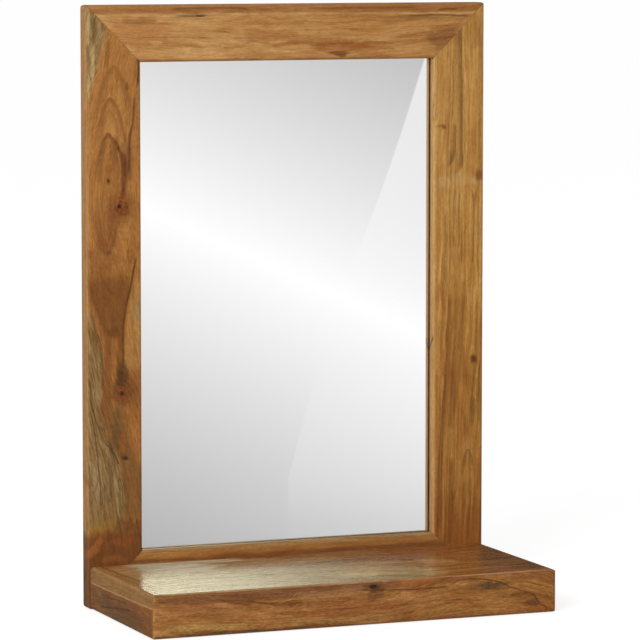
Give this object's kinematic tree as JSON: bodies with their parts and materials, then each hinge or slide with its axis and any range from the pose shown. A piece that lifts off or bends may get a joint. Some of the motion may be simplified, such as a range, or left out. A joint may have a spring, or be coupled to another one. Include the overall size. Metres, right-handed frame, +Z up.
{
  "type": "wall mirror with shelf",
  "caption": "Rectangular mirror in a mitred solid-wood frame, with a box shelf along its foot and keyhole plates let into its back for hanging.",
  "frame": {"origin": "on the wall plane at the back of the frame, midway between the round entries of the two keyholes that the mirror hangs by", "axes": "+X to the right of someone facing the mirror, +Y into the wall, +Z up"},
  "size_m": [0.5, 0.235, 0.7],
  "materials": {
    "frame_wood": "satin lacquer over honey-brown hardwood",
    "shelf_wood": "satin lacquer over red-brown hardwood",
    "bead_wood": "unfinished",
    "beech": "unfinished",
    "hardboard": "unfinished",
    "glass": "polished",
    "silvering": "polished",
    "zinc": "bright zinc plate"
  },
  "bodies": {
    "root": {"left_stile": "frame_wood", "right_stile": "frame_wood", "top_rail": "frame_wood", "bottom_rail": "frame_wood", "frame_biscuits": "beech", "mirror_glass": "glass", "silver_coat": "silvering", "backing_board": "hardboard", "bead_left": "bead_wood", "bead_right": "bead_wood", "bead_top": "bead_wood", "bead_bottom": "bead_wood", "bead_pins": "zinc", "shelf_top": "shelf_wood", "shelf_front": "shelf_wood", "shelf_left_end": "shelf_wood", "shelf_right_end": "shelf_wood", "shelf_bottom": "shelf_wood", "shelf_back_rail": "shelf_wood", "glue_blocks": "beech", "shelf_biscuits": "beech", "shelf_dowels": "beech", "shelf_screws": "zinc", "bottom_screws": "zinc", "hanger_plate_left": "zinc", "hanger_plate_right": "zinc", "hanger_screws": "zinc"}
  },
  "joints": []
}
